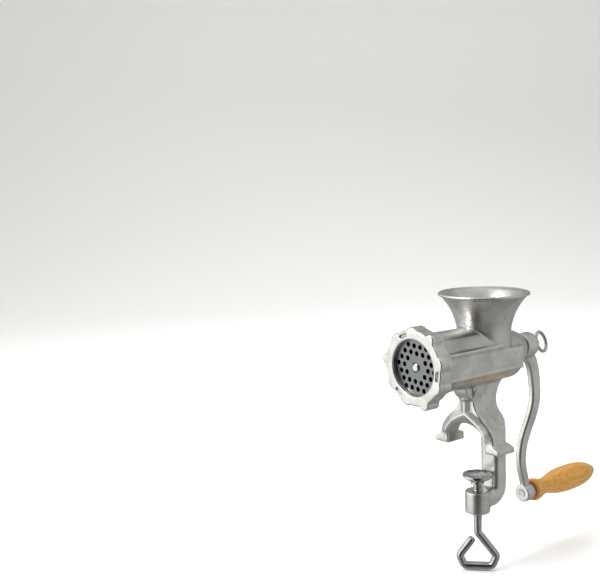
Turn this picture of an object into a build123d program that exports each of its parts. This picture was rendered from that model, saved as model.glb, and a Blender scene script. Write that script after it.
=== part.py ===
"""Hand crank meat grinder that clamps to a table edge.

The frame: +Z up, the barrel along Y with its perforated plate towards -Y and its crank towards +Y,
X across. The origin is where the clamp screw's axis meets the table top, level with the feet.
All sizes are in millimetres.
"""
import os
from math import cos, pi, radians, sin

from build123d import *

os.makedirs("parts", exist_ok=True)

# ---- driving dimensions -----------------------------------------------------------------------
# clearances
running_gap = 0.06        # radial gap of a shaft or screw in its hole
slip_gap = 0.08           # radial gap of a plate, thread or square that slides
face_gap = 0.3            # axial gap between faces of bodies that move past each other

# perforated plate, which sets the size of the barrel and the ring nut
plate_diameter = 54.0
plate_thickness = 5.0
plate_face_y = -74.0      # outer face
plate_proud = 0.6         # how far the plate stands out of the barrel's mouth
plate_hole_diameter = 4.4
plate_hole_pitch = 6.95
plate_pattern_turn = 55.0
plate_centre_relief = 4.6  # radius of the dished ring around the centre hole
plate_centre_dish = 0.8
key_radius = 1.5          # locating pin
key_inset = 1.7           # pin's centre inside the plate's edge
key_seat_depth = 4.0
key_engagement = 0.8      # share of the plate's thickness that the pin reaches
key_slot_gap = 0.24

# barrel
axis_height = 82.0        # barrel axis above the table top
barrel_inset = 0.2        # barrel's front radius, less than the plate's
barrel_taper = 1.4
barrel_flat_depth = 1.2   # the flat sides, inside the rear radius
barrel_wall = 5.2         # wall at the worm chamber's front
barrel_rear_y = 38.0      # rear face of the barrel's lower half
barrel_rear_bevel = 2.2
facet_top_angle = 57.0    # the upper flank facets run from this angle down to the flat sides
bore_taper = 3.2
bore_rear_y = 27.0        # rear wall of the worm chamber
ledge_height = 6.5        # ledge behind the hopper, above the barrel axis
rib_proud = 1.1           # how far the thin side ribs stand out
rib_height = 3.0
rib_root = 1.0            # how deep a rib stands in the barrel's side
rib_edge_radius = 0.9
rib_level_upper = 10.4    # rib centre lines, above and below the barrel axis
rib_level_lower = -11.4
rib_rear_setback = 3.0    # end of the lower ribs ahead of the barrel's rear face

# mouth and ring nut
collar_wall = 3.0         # threaded collar around the plate's recess
collar_setback = 0.5      # collar's rear end inside the nut
nut_depth = 14.5
nut_lip = 4.5             # nut front face ahead of the plate
nut_lip_overlap = 3.1     # how far the lip covers the plate's edge
nut_wall = 2.5
nut_major_lobe = 4.5      # how far the lobes stand out of the nut's rim
nut_minor_lobe = 2.0
nut_major_radius = 5.0
nut_minor_radius = 8.0
nut_lobe_start = 53.0     # angle of the first large lobe
nut_lobe_blend = 3.0
nut_edge_round = 1.4
nut_mouth_bevel = 1.0
spanner_slot_width = 2.8
spanner_slot_length = 9.0
spanner_slot_depth = 1.8
spanner_slot_offset = 4.5  # slot's middle outside the nut's opening

# worm, knife
knife_thickness = 5.5
knife_inset = 4.6         # knife's tips inside the plate's edge
knife_hub_radius = 9.4
knife_heel_reach = 2.0    # a wing's heel outside the square
knife_heel_low = -3.4     # edges of a wing at the hub and at its tip
knife_heel_high = 6.0
knife_tip_low = 1.0
knife_tip_high = 4.8
knife_tip_trim = 0.6
knife_bore_gap = 0.9      # knife's tips to the chamber's wall
knife_rear_gap = 0.7
knife_wings = 4
worm_square = 9.0         # square that carries the knife
stub_radius = 3.4         # front pin that turns in the plate
stub_proud = 1.4
stub_bevel = 0.7
worm_core_radius = 7.2
worm_core_taper = 1.5
worm_clearance = 0.7      # flight to barrel bore
worm_pitch = 22.0
flight_thickness = 3.4    # at half its height
flight_lead = 0.6         # flight's front end behind the knife
flight_run_out = 1.2      # bare core at each end of the flight
flight_root_flare = 1.0
flight_tip_thinning = 0.6
thrust_radius = 14.0
thrust_disc = 2.0
thrust_washer_thickness = 1.5
journal_radius = 8.0
journal_setback = 0.4     # journal's rear end inside the crank's face
bush_wall = 2.3
bush_flange_overhang = 0.54
bush_flange = 2.0
bush_bevel = 0.3
snout_end_y = 55.7        # rear end of the bearing snout
snout_wall = 2.04         # at its rear end
snout_root_inset = 4.0    # snout's root inside the barrel's rear radius
snout_shoulder_inset = 7.2
snout_shoulder_y = 4.0    # shoulder behind the barrel's rear face
snout_root_depth = 4.0    # how far the snout starts ahead of the chamber's rear wall
snout_root_slope = 0.05   # fall of its outline at the root and at the rear end
snout_end_slope = 0.62
tail_square = 10.0        # square that drives the crank
tail_length = 15.6

# hopper
hopper_y = 10.5           # hopper axis
hopper_neck_inset = 0.7   # neck inside the barrel's flat sides
hopper_rim_radius = 39.8
hopper_rim_height = 54.3  # rim above the barrel axis
hopper_flare_start = 16.5  # start of the flare above the barrel axis
hopper_wall = 2.9
hopper_throat_lift = 14.0  # lower end of the funnel above the barrel axis
hopper_throat_lap = 0.1   # overlap of throat and funnel
rim_bead = 1.5            # radius of the rolled rim

# legs
leg_front_y = -14.0
leg_depth = 14.2
leg_bury = 16.0           # legs and trunk end this far below the barrel axis
leg_top_half = 14.0
leg_shoulder = 32.0       # start of the spread, below the barrel axis
leg_shoulder_half = 10.6
leg_outline = [(11.3, 36.0), (18.8, 28.6), (26.8, 20.2)]  # outer edge, X and Z
leg_ankle_z = 6.0
leg_fillet = 16.0         # curve of the trunk's front into the barrel
leg_fillet_reach = 9.0
leg_fillet_low = 38.0     # its ends, below the barrel axis
leg_fillet_high = 25.0
leg_fillet_bury = 14.0
leg_fillet_overlap = 2.0
leg_fillet_inset = 1.5
arch_half = 21.8          # half the width between the feet
arch_side = 8.0
arch_height = 22.0
foot_front_y = -15.0
foot_depth = 22.0
foot_reach = 37.2
foot_toe_height = 4.4
foot_instep = 3.0         # foot's rise from the toe to the leg
leg_foot_half = 31.0      # half the width over the legs where they meet the feet

# clamp frame
spine_half = 9.8
spine_profile = [(37.0, 1.0), (26.0, 0.885), (18.5, 0.731), (15.6, 0.558), (17.4, 0.385), (23.0, 0.24)]
                          # rear edge: Y, and share of the rise from the web to the trunk's top
spine_top_share = 1.08
spine_lap = 4.0           # overlap of spine and legs
crotch_z = 30.0           # underside of the trunk between the legs
crotch_step = 2.0
web_half = 10.5
web_front_y = 14.0
web_top_z = 14.0
web_depth = 13.5
web_back_round = 5.5
elbow_inner_radius = 4.0
lower_arm_top = -43.0
clamp_boss_radius = 11.2
clamp_boss_rise = 0.8     # boss above the lower arm
clamp_boss_height = 19.8

# clamp screw and pad
screw_radius = 4.0
screw_tip_relief = 0.2
screw_tip_half = 1.4
screw_tip_rise = 1.9      # riveted tip above the pad's floor
screw_tip_shoulder = 0.9
screw_tail = 16.0         # plain end below the boss
screw_tail_bevel = 1.0
pad_rim_z = -27.0
pad_radius = 13.0
pad_sheet = 1.8
pad_dish = 4.2
pad_floor_radius = 5.0
pad_curve = 14.0
pad_lip = 0.3
pad_hub_radius = 6.0
pad_hub_height = 2.6
pad_neck_radius = 2.4
loop_wire_radius = 3.5
loop_start = 8.0          # loop's start below the boss
loop_apex_z = -81.5
loop_bottom_z = -113.2    # centre line of the loop's lowest run
loop_shoulder_half = 16.6
loop_shoulder_z = -103.5
loop_bottom_half = 12.4
loop_end_x = -5.4         # cut end
loop_end_z = -88.0
loop_apex_bend = 5.0
loop_corner_bend = 4.2
loop_turn = 44.0          # the loop's plane, turned about the screw

# crank
crank_throw = 142.0       # barrel axis to grip axis
crank_boss_wall = 4.7     # outside the square's corners
crank_boss_depth = 17.3
crank_boss_bevel = 0.8
crank_boss_crown = 5.0    # length and fall of the boss's rounded rear
crank_boss_crown_fall = 5.2
crank_gap = 0.5           # crank boss to bush flange
arm_half_x = 3.5
arm_width_top = 13.4
arm_width_bottom = 8.0
arm_edge_round = 2.4
arm_top = [(8.9, 5.96), (16.2, 15.34)]  # centre line: Y behind the crank's face, and below the barrel axis
arm_bends = [(21.6, 0.25), (21.9, 0.386), (14.9, 0.513), (5.7, 0.637), (2.2, 0.768),
             (6.0, 0.894), (9.3, 0.986)]
                          # the rest of it: Y behind the crank's face, and share of the throw
grip_boss_radius = 8.2
grip_boss_offset = 3.3    # grip boss behind the crank's face
grip_boss_depth = 11.0
grip_boss_round = 0.8
ring_shank_radius = 3.0
ring_shank_length = 13.0
ring_shank_bevel = 0.6
ring_seat_gap = 0.05      # collar to boss
ring_collar_radius = 5.0
ring_collar = 2.2
ring_collar_bevel = 1.2
ring_neck = 6.0
ring_neck_lap = 1.0       # neck's overlap with the eye
ring_wire_radius = 1.6
ring_half_y = 4.9         # half the eye's inner-line size along the shank
ring_half_z = 7.6
ring_turn = -18.0         # the eye's lean about the shank

# grip
washer_thickness = 0.8
grip_length = 93.5
grip_collar_radius = 10.4
grip_collar_length = 3.0
grip_collar_bevel = 1.2
grip_waist_radius = 8.0
grip_waist_share = 0.15   # places of waist, swell and belly along the grip
grip_swell_radius = 10.4
grip_swell_share = 0.36
grip_belly_radius = 12.2
grip_belly_share = 0.62
grip_tip_radius = 5.6
grip_tip_rounding = [(9.0, 3.4), (2.0, 0.2), (0.0, -1.4)]  # before the rear end, and beyond the tip's radius
grip_pin_radius = 3.0
grip_pin_head_radius = 4.4
grip_pin_head = [(0.6, 0.0), (1.5, 1.2), (1.9, 3.0)]       # height, and fall from the head's radius

# ---- derived sizes and places -----------------------------------------------------------------
plate_radius = plate_diameter / 2
barrel_radius_front = plate_radius - barrel_inset
barrel_radius_rear = barrel_radius_front - barrel_taper
barrel_flat_half = barrel_radius_rear - barrel_flat_depth
bore_radius_front = barrel_radius_front - barrel_wall
bore_radius_rear = bore_radius_front - bore_taper
collar_radius = plate_radius + collar_wall
nut_radius = collar_radius + nut_wall
nut_opening_radius = plate_radius - nut_lip_overlap
key_circle = plate_radius - key_inset
knife_reach = plate_radius - knife_inset
bush_outer_radius = journal_radius + running_gap + bush_wall
snout_end_radius = bush_outer_radius + snout_wall
snout_root_y = bore_rear_y - snout_root_depth
hopper_neck_radius = barrel_flat_half - hopper_neck_inset
trunk_top_z = axis_height - leg_bury
trunk_rise = trunk_top_z - web_top_z
crank_boss_radius = tail_square / 2**0.5 + crank_boss_wall
mouth_y = plate_face_y + plate_proud
plate_seat_y = plate_face_y + plate_thickness
nut_front_y = plate_face_y - nut_lip
nut_rear_y = nut_front_y + nut_depth
collar_rear_y = nut_rear_y - collar_setback
knife_front_y = plate_seat_y + face_gap
knife_rear_y = knife_front_y + knife_thickness
chamber_rear_y = knife_rear_y + knife_rear_gap
plate_recess_radius = plate_radius + slip_gap
chamber_radius = knife_reach + knife_bore_gap
flight_start_y = knife_rear_y + flight_lead
thrust_rear_y = bore_rear_y - face_gap
thrust_washer_front_y = thrust_rear_y - thrust_washer_thickness
thrust_disc_front_y = thrust_washer_front_y - thrust_disc
bush_rear_y = snout_end_y + bush_flange
crank_front_y = bush_rear_y + crank_gap
crank_rear_y = crank_front_y + crank_boss_depth
journal_rear_y = crank_front_y - journal_setback
tail_rear_y = journal_rear_y + tail_length
grip_axis_z = axis_height - crank_throw
grip_boss_face_y = crank_front_y + grip_boss_offset
grip_boss_rear_y = grip_boss_face_y + grip_boss_depth
grip_front_y = grip_boss_rear_y + washer_thickness + 2 * face_gap
grip_rear_y = grip_front_y + grip_length
rim_z = axis_height + hopper_rim_height
web_centre_y = web_front_y + web_depth / 2
clamp_boss_top = lower_arm_top + clamp_boss_rise
clamp_boss_bottom = clamp_boss_top - clamp_boss_height


def across(y, z=axis_height):
    """Plane across the barrel at this y, seen from the plate end: local x is X, local y is Z."""
    return Plane(origin=(0, y, z), x_dir=(1, 0, 0), z_dir=(0, -1, 0))


def along(z=axis_height, y=0.0):
    """Middle plane X = 0: local x is Y, local y is Z."""
    return Plane(origin=(0, y, z), x_dir=(0, 1, 0), z_dir=(1, 0, 0))


barrel_axis = Axis((0, 0, axis_height), (0, 1, 0))
grip_axis = Axis((0, 0, grip_axis_z), (0, 1, 0))
hopper_axis = Axis((0, hopper_y, 0), (0, 0, 1))
screw_axis = Axis((0, 0, 0), (0, 0, 1))


def save(piece, name):
    """Label a finished piece and write it."""
    piece.part.label = name
    export_step(piece.part, f"parts/{name}.step")


def barrel_outline(radius, inset=0.0):
    """Barrel section: round top and bottom, flat sides and a facet on each upper flank."""
    top = radians(facet_top_angle)
    radius -= inset
    half = barrel_flat_half - inset
    side = (half, (radius**2 - half**2) ** 0.5)
    crown = (radius * cos(top), radius * sin(top))
    with BuildLine() as outline:
        ThreePointArc((-crown[0], crown[1]), (0, radius), crown)
        Line(crown, side)
        Line(side, (side[0], -side[1]))
        ThreePointArc((side[0], -side[1]), (0, -radius), (-side[0], -side[1]))
        Line((-side[0], -side[1]), (-side[0], side[1]))
        Line((-side[0], side[1]), (-crown[0], crown[1]))
    return outline.line


def arm_edge(centre, widths, side):
    """Points of one edge of a bent bar, half a width to one side of its centre line."""
    points = []
    last = len(centre) - 1
    for i, (y, z) in enumerate(centre):
        before = centre[max(i - 1, 0)]
        after = centre[min(i + 1, last)]
        run = (after[0] - before[0], after[1] - before[1])
        size = (run[0] ** 2 + run[1] ** 2) ** 0.5
        half = (widths[0] + (widths[1] - widths[0]) * i / last) / 2
        points.append((y - side * half * run[1] / size, z + side * half * run[0] / size))
    return points


# ---- housing: one casting with barrel, hopper, legs and clamp frame ----------------------------
with BuildPart() as housing:
    # barrel, tapering to the rear
    for y, radius, inset in (
        (collar_rear_y - collar_setback, barrel_radius_front, 0),
        (barrel_rear_y - barrel_rear_bevel, barrel_radius_rear, 0),
        (barrel_rear_y, barrel_radius_rear, barrel_rear_bevel),
    ):
        with BuildSketch(across(y)):
            add(barrel_outline(radius, inset))
            make_face()
    loft(ruled=True)
    # behind the hopper the upper half is cut down to a ledge
    with BuildSketch(along()):
        with Locations((hopper_y, ledge_height)):
            Rectangle(barrel_rear_y, barrel_radius_front, align=(Align.MIN, Align.MIN))
    extrude(amount=barrel_radius_front, both=True, mode=Mode.SUBTRACT)
    # thin ribs along the sides
    for level in (rib_level_upper, rib_level_lower):
        for side in (-1, 1):
            end_y = hopper_y if level > 0 else barrel_rear_y - rib_rear_setback
            with BuildSketch(across(collar_rear_y)):
                with Locations((side * (barrel_flat_half - rib_root), level)):
                    RectangleRounded(2 * (rib_root + rib_proud), rib_height, rib_edge_radius)
            extrude(amount=collar_rear_y - end_y)
    # bearing snout
    with BuildSketch(along()):
        with BuildLine():
            snout_curve = Spline(
                (snout_root_y, barrel_radius_rear - snout_root_inset),
                (barrel_rear_y + snout_shoulder_y, barrel_radius_rear - snout_shoulder_inset),
                (snout_end_y, snout_end_radius),
                tangents=[(1, -snout_root_slope), (1, -snout_end_slope)],
            )
            Polyline(snout_curve @ 0, (snout_root_y, 0), (snout_end_y, 0), snout_curve @ 1)
        make_face()
    revolve(axis=barrel_axis)
    # threaded collar of the mouth, plain
    with BuildSketch(across(mouth_y)):
        Circle(collar_radius)
    extrude(amount=mouth_y - collar_rear_y)
    # hopper, a trumpet on a round neck
    flare_rise = hopper_rim_height - hopper_flare_start
    flare_run = hopper_rim_radius - hopper_neck_radius
    flare_radius = (flare_rise**2 + flare_run**2) / (2 * flare_run)
    flare_height = axis_height + hopper_flare_start
    inner_radius = flare_radius + hopper_wall
    inner_neck = hopper_neck_radius - hopper_wall
    inner_rise = rim_z - flare_height
    inner_rim = inner_neck + inner_radius - (inner_radius**2 - inner_rise**2) ** 0.5
    with BuildSketch(Plane(origin=(0, hopper_y, 0), x_dir=(1, 0, 0), z_dir=(0, -1, 0))):
        with BuildLine():
            Polyline((0, axis_height + ledge_height), (hopper_neck_radius, axis_height + ledge_height))
            Line((hopper_neck_radius, axis_height + ledge_height), (hopper_neck_radius, flare_height))
            RadiusArc((hopper_neck_radius, flare_height), (hopper_rim_radius, rim_z), flare_radius)
            Polyline((hopper_rim_radius, rim_z), (0, rim_z), (0, axis_height + ledge_height))
        make_face()
    revolve(axis=hopper_axis)
    with BuildSketch(Plane(origin=(0, hopper_y, 0), x_dir=(1, 0, 0), z_dir=(0, -1, 0))):
        with Locations((hopper_rim_radius - rim_bead / 2, rim_z)):
            Circle(rim_bead)
    revolve(axis=hopper_axis)
    # trunk: spine behind, rising into the barrel
    spine_rear = [(y, web_top_z + share * trunk_rise) for y, share in spine_profile]
    spine_rear.append((web_front_y + web_depth, web_top_z))
    spine_top_z = web_top_z + spine_top_share * trunk_rise
    lap_y = leg_front_y + leg_depth - spine_lap
    with BuildSketch(along(0)):
        with BuildLine():
            Spline(*spine_rear)
            Polyline(
                spine_rear[-1],
                (web_front_y, web_top_z),
                (web_front_y, web_top_z + crotch_step),
                (lap_y, crotch_z),
                (lap_y, spine_top_z),
                (spine_rear[0][0], spine_top_z),
                spine_rear[0],
            )
        make_face()
    extrude(amount=spine_half, both=True)
    # trunk front fillet into the barrel
    fillet_foot = (leg_front_y, axis_height - leg_fillet_low)
    fillet_head = (leg_front_y - leg_fillet_reach, axis_height - leg_fillet_high)
    fillet_rear_y = leg_front_y + leg_fillet_overlap
    with BuildSketch(along(0)):
        with BuildLine():
            RadiusArc(fillet_foot, fillet_head, leg_fillet)
            Polyline(
                fillet_head,
                (fillet_head[0], axis_height - leg_fillet_bury),
                (fillet_rear_y, axis_height - leg_fillet_bury),
                (fillet_rear_y, fillet_foot[1]),
                fillet_foot,
            )
        make_face()
    extrude(amount=spine_half - leg_fillet_inset, both=True)
    # pair of legs, an arch seen from the front
    shoulder_z = axis_height - leg_shoulder
    with BuildSketch(across(leg_front_y, 0)):
        with BuildLine():
            leg_curve = Spline((leg_shoulder_half, shoulder_z), *leg_outline, (leg_foot_half, leg_ankle_z))
            mirror(leg_curve, about=Plane.YZ)
            Polyline(
                (leg_foot_half, leg_ankle_z),
                (leg_foot_half, 0),
                (-leg_foot_half, 0),
                (-leg_foot_half, leg_ankle_z),
            )
            Polyline(
                (-leg_shoulder_half, shoulder_z),
                (-leg_top_half, trunk_top_z),
                (leg_top_half, trunk_top_z),
                (leg_shoulder_half, shoulder_z),
            )
        make_face()
        with BuildLine():
            Polyline((-arch_half, arch_side), (-arch_half, 0), (arch_half, 0), (arch_half, arch_side))
            arch_rise = arch_height - arch_side
            EllipticalCenterArc((0, arch_side), arch_half, arch_rise, start_angle=0, arc_size=180)
        make_face(mode=Mode.SUBTRACT)
    extrude(amount=-leg_depth)
    # feet
    for side in (-1, 1):
        with BuildSketch(across(foot_front_y, 0)):
            with BuildLine():
                Polyline(
                    (side * arch_half, 0),
                    (side * arch_half, foot_toe_height + foot_instep),
                    (side * leg_foot_half, foot_toe_height + foot_instep),
                    (side * foot_reach, foot_toe_height),
                    (side * foot_reach, 0),
                    (side * arch_half, 0),
                )
            make_face()
        extrude(amount=-foot_depth)
    # clamp frame: D section swept down the back, round the elbow and forward to the boss
    arc_radius = elbow_inner_radius + web_depth / 2
    arm_centre_z = lower_arm_top - web_depth / 2
    with BuildLine() as frame_path:
        Line((0, web_centre_y, web_top_z), (0, web_centre_y, arm_centre_z + arc_radius))
        ThreePointArc(
            (0, web_centre_y, arm_centre_z + arc_radius),
            (0, web_centre_y - arc_radius * (1 - cos(pi / 4)), arm_centre_z + arc_radius * (1 - sin(pi / 4))),
            (0, web_centre_y - arc_radius, arm_centre_z),
        )
        Line((0, web_centre_y - arc_radius, arm_centre_z), (0, 0, arm_centre_z))
    frame_top = Plane(origin=(0, web_centre_y, web_top_z), x_dir=(1, 0, 0), z_dir=(0, 0, -1))
    with BuildSketch(frame_top) as frame_section:
        Rectangle(2 * web_half, web_depth)
        back = frame_section.vertices().group_by(Axis.Y)[-1]
        fillet(back, web_back_round)
    sweep(path=frame_path.line)
    with BuildSketch(Plane.XY.offset(clamp_boss_bottom)):
        Circle(clamp_boss_radius)
    extrude(amount=clamp_boss_top - clamp_boss_bottom)
    # inside: hopper funnel and throat
    throat_z = axis_height + hopper_throat_lift
    with BuildSketch(Plane(origin=(0, hopper_y, 0), x_dir=(1, 0, 0), z_dir=(0, -1, 0))):
        with BuildLine():
            RadiusArc((inner_neck, flare_height), (inner_rim, rim_z), inner_radius)
            Polyline(
                (inner_rim, rim_z),
                (inner_rim, rim_z + rim_bead),
                (0, rim_z + rim_bead),
                (0, throat_z),
                (inner_neck, throat_z),
                (inner_neck, flare_height),
            )
        make_face()
    revolve(axis=hopper_axis, mode=Mode.SUBTRACT)
    with BuildSketch(Plane.XY.offset(axis_height)):
        with Locations((0, hopper_y)):
            Circle(inner_neck)
        with Locations((0, bore_rear_y)):
            Rectangle(
                2 * inner_neck, 2 * inner_neck, align=(Align.CENTER, Align.MAX), mode=Mode.INTERSECT
            )
    extrude(amount=hopper_throat_lift + hopper_throat_lap, mode=Mode.SUBTRACT)
    # inside: plate seat, knife chamber, worm bore, bush bore
    with BuildSketch(along()):
        with BuildLine():
            Polyline(
                (mouth_y, 0),
                (mouth_y, plate_recess_radius),
                (plate_seat_y, plate_recess_radius),
                (plate_seat_y, chamber_radius),
                (chamber_rear_y, chamber_radius),
                (chamber_rear_y, bore_radius_front),
                (bore_rear_y, bore_radius_rear),
                (bore_rear_y, bush_outer_radius),
                (snout_end_y, bush_outer_radius),
                (snout_end_y, 0),
                (mouth_y, 0),
            )
        make_face()
    revolve(axis=barrel_axis, mode=Mode.SUBTRACT)
    # seat of the locating pin, and the clamp screw's hole
    with BuildSketch(across(plate_seat_y)):
        with Locations((0, -key_circle)):
            Circle(key_radius)
    extrude(amount=-key_seat_depth, mode=Mode.SUBTRACT)
    with BuildSketch(Plane.XY.offset(clamp_boss_bottom)):
        Circle(screw_radius + running_gap)
    extrude(amount=clamp_boss_top - clamp_boss_bottom, mode=Mode.SUBTRACT)
save(housing, "housing")

# ---- locating pin of the plate, pressed into the seat ------------------------------------------
key_proud = key_engagement * plate_thickness
with BuildPart() as plate_key:
    with BuildSketch(across(plate_seat_y - key_proud)):
        with Locations((0, -key_circle)):
            Circle(key_radius)
    extrude(amount=-(key_proud + key_seat_depth))
save(plate_key, "plate_key")

# ---- flanged bush in the snout -----------------------------------------------------------------
with BuildPart() as rear_bush:
    with BuildSketch(across(bore_rear_y)):
        Circle(bush_outer_radius)
    extrude(amount=bore_rear_y - snout_end_y)
    with BuildSketch(across(snout_end_y)):
        Circle(bush_outer_radius + bush_flange_overhang)
    extrude(amount=-bush_flange)
    with BuildSketch(across(bore_rear_y)):
        Circle(journal_radius + running_gap)
    extrude(amount=bore_rear_y - bush_rear_y, mode=Mode.SUBTRACT)
    chamfer(rear_bush.edges().filter_by(GeomType.CIRCLE).group_by(Axis.Y)[-1], bush_bevel)
save(rear_bush, "rear_bush")

# ---- perforated plate --------------------------------------------------------------------------
with BuildPart() as hole_plate:
    with BuildSketch(across(plate_face_y)):
        Circle(plate_radius)
        Circle(stub_radius + running_gap, mode=Mode.SUBTRACT)
        # two rings of holes on a triangular lattice
        for ring in (2, 3):
            for turn in range(6):
                with Locations(Rotation(0, 0, 60 * turn + plate_pattern_turn)):
                    for step in range(ring):
                        lattice = (
                            plate_hole_pitch * (ring - step / 2),
                            plate_hole_pitch * step * sin(pi / 3),
                        )
                        with Locations(lattice):
                            Circle(plate_hole_diameter / 2, mode=Mode.SUBTRACT)
        with Locations((0, -key_circle)):
            Circle(key_radius + key_slot_gap, mode=Mode.SUBTRACT)
        with Locations((0, -plate_radius)):
            Rectangle(2 * (key_radius + key_slot_gap), 2 * key_inset, mode=Mode.SUBTRACT)
    extrude(amount=-plate_thickness)
    with BuildSketch(across(plate_face_y)):
        Circle(plate_centre_relief)
    extrude(amount=-plate_centre_dish, mode=Mode.SUBTRACT)
save(hole_plate, "hole_plate")

# ---- ring nut with lobed rim -------------------------------------------------------------------
major_circle = nut_radius + nut_major_lobe - nut_major_radius
minor_circle = nut_radius + nut_minor_lobe - nut_minor_radius
with BuildPart() as ring_nut:
    with BuildSketch(across(nut_front_y)) as nut_rim:
        Circle(nut_radius)
        for i in range(3):
            major = radians(nut_lobe_start + 120 * i)
            with Locations((major_circle * cos(major), major_circle * sin(major))):
                Circle(nut_major_radius)
            for offset in (40, 80):
                minor = major + radians(offset)
                with Locations((minor_circle * cos(minor), minor_circle * sin(minor))):
                    Circle(nut_minor_radius)
        fillet(nut_rim.vertices(), nut_lobe_blend)
    extrude(amount=-nut_depth)
    outer_edges = ring_nut.edges().group_by(Axis.Y)[0] + ring_nut.edges().group_by(Axis.Y)[-1]
    fillet(outer_edges, nut_edge_round)
    with BuildSketch(across(nut_front_y)):
        Circle(nut_opening_radius)
    extrude(amount=-nut_depth, mode=Mode.SUBTRACT)
    chamfer(ring_nut.edges().filter_by(GeomType.CIRCLE).group_by(Axis.Y)[0], nut_mouth_bevel)
    with BuildSketch(across(plate_face_y - face_gap / 3)):
        Circle(collar_radius + slip_gap)
    extrude(amount=-nut_depth, mode=Mode.SUBTRACT)
    # three slots in the face for a spanner
    with BuildSketch(across(nut_front_y)):
        for i in range(3):
            with Locations(Rotation(0, 0, nut_lobe_start + 60 + 120 * i)):
                with Locations((nut_opening_radius + spanner_slot_offset, 0)):
                    SlotOverall(spanner_slot_length, spanner_slot_width, rotation=90)
    extrude(amount=-spanner_slot_depth, mode=Mode.SUBTRACT)
save(ring_nut, "ring_nut")

# ---- cross knife -------------------------------------------------------------------------------
with BuildPart() as knife:
    with BuildSketch(across(knife_front_y)):
        Circle(knife_hub_radius)
        with PolarLocations(0, knife_wings):
            Polygon(
                (worm_square / 2 + knife_heel_reach, knife_heel_low),
                (knife_reach - knife_tip_trim, knife_tip_low),
                (knife_reach - knife_tip_trim, knife_tip_high),
                (worm_square / 2 + knife_heel_reach, knife_heel_high),
                align=None,
            )
        Rectangle(worm_square + 2 * slip_gap, worm_square + 2 * slip_gap, mode=Mode.SUBTRACT)
    extrude(amount=-knife_thickness)
save(knife, "knife")

# ---- worm: core, flight, journal, square tail --------------------------------------------------
flight_run = thrust_disc_front_y - flight_start_y
flight_tip_front = bore_radius_front - worm_clearance
flight_tip_rear = bore_radius_rear - worm_clearance
shank_end_y = crank_rear_y - ring_shank_length
with BuildPart() as auger:
    with BuildSketch(along()):
        with BuildLine():
            Polyline(
                (plate_face_y - stub_proud, 0),
                (plate_face_y - stub_proud, stub_radius - stub_bevel),
                (plate_face_y - stub_proud + stub_bevel, stub_radius),
                (flight_start_y, stub_radius),
                (flight_start_y, worm_core_radius),
                (thrust_disc_front_y, worm_core_radius + worm_core_taper),
                (thrust_disc_front_y, thrust_radius),
                (thrust_washer_front_y, thrust_radius),
                (thrust_washer_front_y, journal_radius),
                (journal_rear_y, journal_radius),
                (journal_rear_y, 0),
                (plate_face_y - stub_proud, 0),
            )
        make_face()
    revolve(axis=barrel_axis)
    with BuildSketch(across(knife_front_y)):
        Rectangle(worm_square, worm_square)
    extrude(amount=knife_front_y - flight_start_y)
    with BuildSketch(across(journal_rear_y)):
        Rectangle(tail_square, tail_square)
    extrude(amount=-tail_length)
    with BuildSketch(across(tail_rear_y)):
        Circle(ring_shank_radius + running_gap)
    extrude(amount=tail_rear_y - shank_end_y + ring_shank_bevel, mode=Mode.SUBTRACT)
    with BuildLine() as flight_path:
        Helix(
            worm_pitch,
            flight_run - flight_thickness - 2 * flight_run_out,
            worm_core_radius,
            center=(0, flight_start_y + flight_thickness / 2 + flight_run_out, axis_height),
            direction=(0, 1, 0),
        )
    flight_foot = flight_path.line @ 0
    outward = flight_foot - Vector(0, flight_foot.Y, axis_height)
    with BuildSketch(Plane(origin=flight_foot, x_dir=outward, z_dir=flight_path.line % 0)):
        root_half = flight_thickness / 2 + flight_root_flare
        tip_half = flight_thickness / 2 - flight_tip_thinning
        flight_height = bore_radius_front - worm_core_radius
        Polygon(
            (-flight_root_flare, -root_half),
            (flight_height, -tip_half),
            (flight_height, tip_half),
            (-flight_root_flare, root_half),
            align=None,
        )
    sweep(path=flight_path.line, is_frenet=True)
    # the flight's edge follows the bore
    with BuildSketch(along()):
        Polygon(
            (flight_start_y, flight_tip_front),
            (thrust_disc_front_y, flight_tip_rear),
            (thrust_disc_front_y, collar_radius),
            (flight_start_y, collar_radius),
            align=None,
        )
    revolve(axis=barrel_axis, mode=Mode.SUBTRACT)
save(auger, "auger")

# ---- thrust washer behind the worm -------------------------------------------------------------
with BuildPart() as thrust_washer:
    with BuildSketch(across(thrust_washer_front_y)):
        Circle(thrust_radius)
        Circle(journal_radius + running_gap, mode=Mode.SUBTRACT)
    extrude(amount=-thrust_washer_thickness)
save(thrust_washer, "thrust_washer")

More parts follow.
